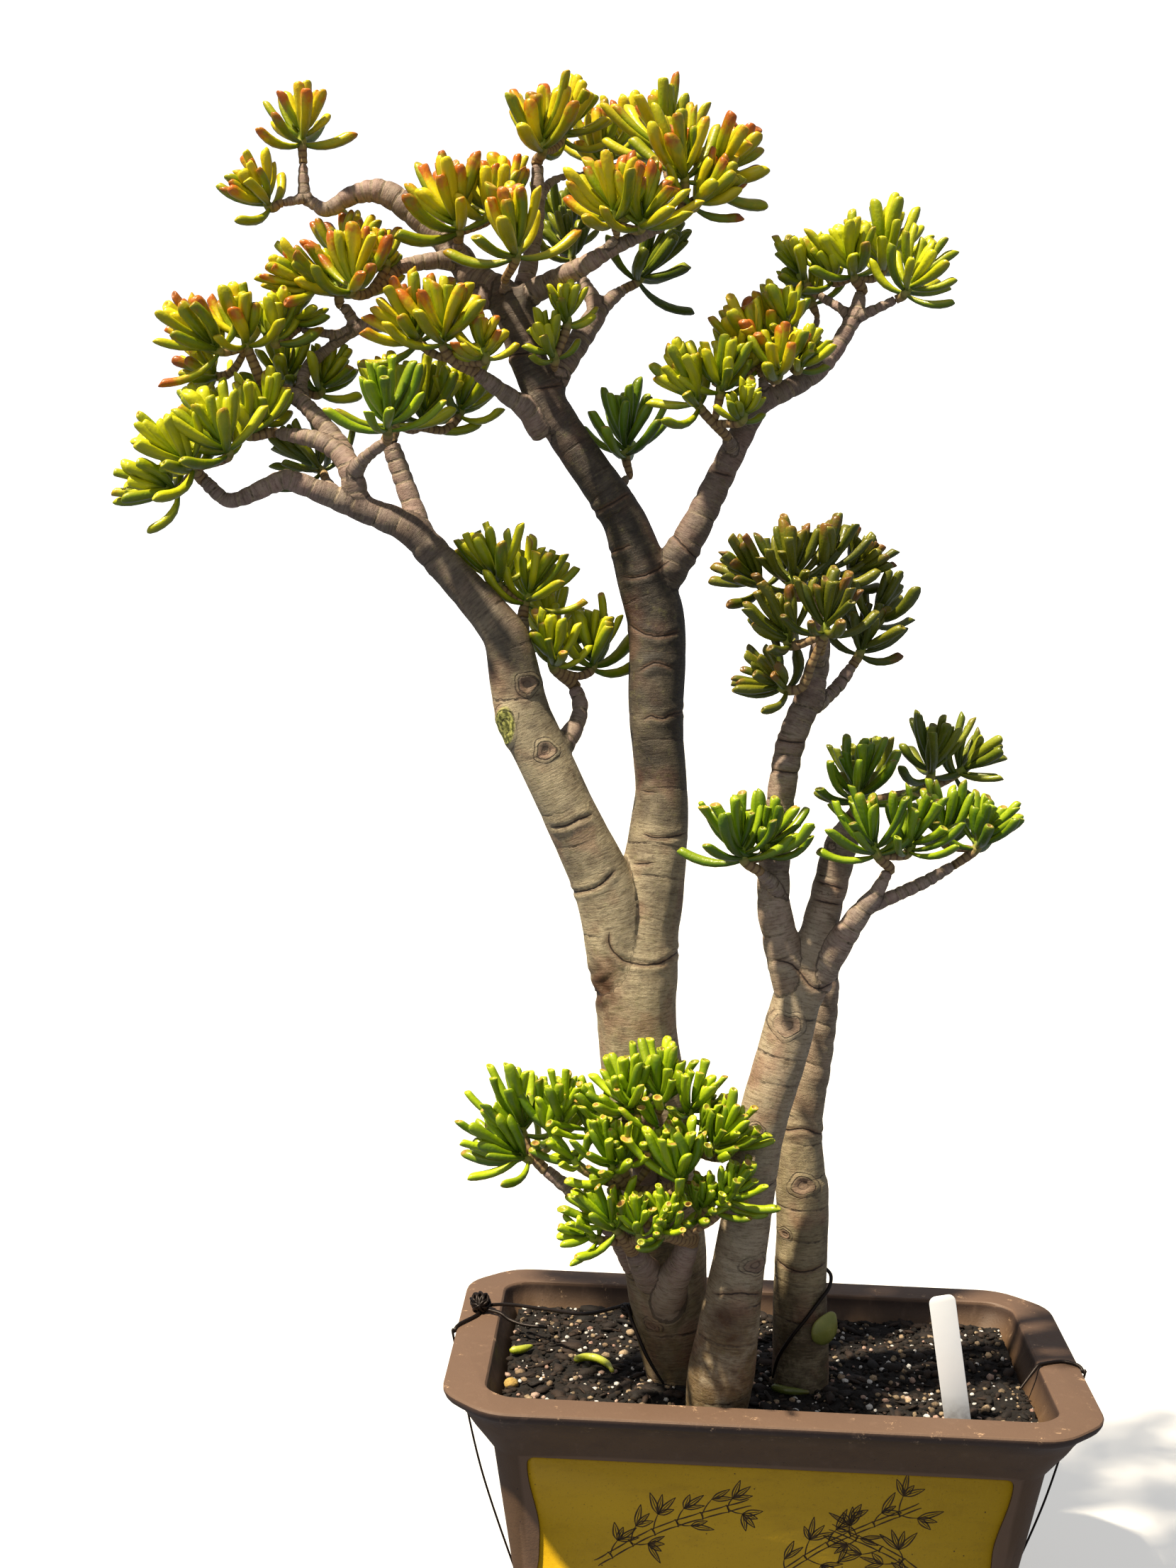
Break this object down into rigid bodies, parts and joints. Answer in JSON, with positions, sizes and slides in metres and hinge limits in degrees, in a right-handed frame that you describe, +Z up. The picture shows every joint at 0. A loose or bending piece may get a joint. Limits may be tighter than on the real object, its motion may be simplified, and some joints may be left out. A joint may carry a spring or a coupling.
{
  "type": "potted jade bonsai",
  "caption": "Potted bonsai of three jade trees with tube-shaped, cup-ended leaves in heads on bare grey trunks, in a rectangular clay pot with flared rim and feet.",
  "frame": {"origin": "on the ground under the middle of the pot, in the plane its feet stand on", "axes": "+Z up; +X along the pot's long side; -Y towards the front, the side the front tree stands on"},
  "size_m": [0.6919, 0.3083, 1.1092],
  "materials": {
    "pot_clay": "unglazed, matt",
    "soil": "gritty, matt",
    "drain_mesh": "matt",
    "bark_main": "smooth bark, matt",
    "bark_front": "smooth bark, matt",
    "bark_rear": "smooth bark, matt",
    "leaf_gold": "waxy, satin",
    "leaf_mid": "waxy, satin",
    "leaf_bright": "waxy, satin",
    "leaf_dark": "waxy, satin",
    "leaf_shade": "waxy, satin",
    "leaf_fallen": "waxy, satin",
    "wire": "dark, satin",
    "label": "smooth, satin"
  },
  "bodies": {
    "root": {"pot": "pot_clay", "soil": "soil", "drain_mesh_left": "drain_mesh", "drain_mesh_right": "drain_mesh", "main_tree": "bark_main", "front_tree": "bark_front", "rear_tree": "bark_rear", "crown_tip": "leaf_gold", "crown_tip_left": "leaf_gold", "crown_arm": "leaf_gold", "crown_arm_back": "leaf_gold", "left_top": "leaf_gold", "left_top_right": "leaf_gold", "left_low": "leaf_gold", "left_mid": "leaf_mid", "left_inner": "leaf_gold", "left_under": "leaf_dark", "left_head_front": "leaf_bright", "left_head_back": "leaf_mid", "crown_mid_left": "leaf_gold", "crown_front": "leaf_gold", "crown_right": "leaf_gold", "crown_far_right": "leaf_gold", "crown_high": "leaf_gold", "crown_high_right": "leaf_gold", "crown_under": "leaf_dark", "crown_under_right": "leaf_dark", "leader_buds": "leaf_mid", "mid_yellow": "leaf_gold", "right_first": "leaf_gold", "right_mid": "leaf_gold", "right_inner": "leaf_mid", "right_inner_low": "leaf_mid", "right_upper_left": "leaf_mid", "right_top": "leaf_mid", "right_end": "leaf_mid", "leader_head": "leaf_dark", "limb_head": "leaf_bright", "branchlet_head": "leaf_mid", "front_crown": "leaf_shade", "front_middle": "leaf_shade", "front_side": "leaf_shade", "front_fork_head": "leaf_bright", "front_stem_top": "leaf_bright", "front_right": "leaf_bright", "front_right_end": "leaf_mid", "rear_crown": "leaf_dark", "low_left": "leaf_bright", "low_front": "leaf_bright", "low_front_left": "leaf_bright", "low_mid": "leaf_bright", "low_top": "leaf_bright", "low_top_right": "leaf_bright", "tie_wire": "wire", "loop_wire": "wire", "plant_label": "label", "fallen_leaf_1": "leaf_fallen", "fallen_leaf_2": "leaf_fallen", "fallen_leaf_3": "leaf_fallen", "tucked_leaf": "leaf_fallen"}
  },
  "joints": []
}
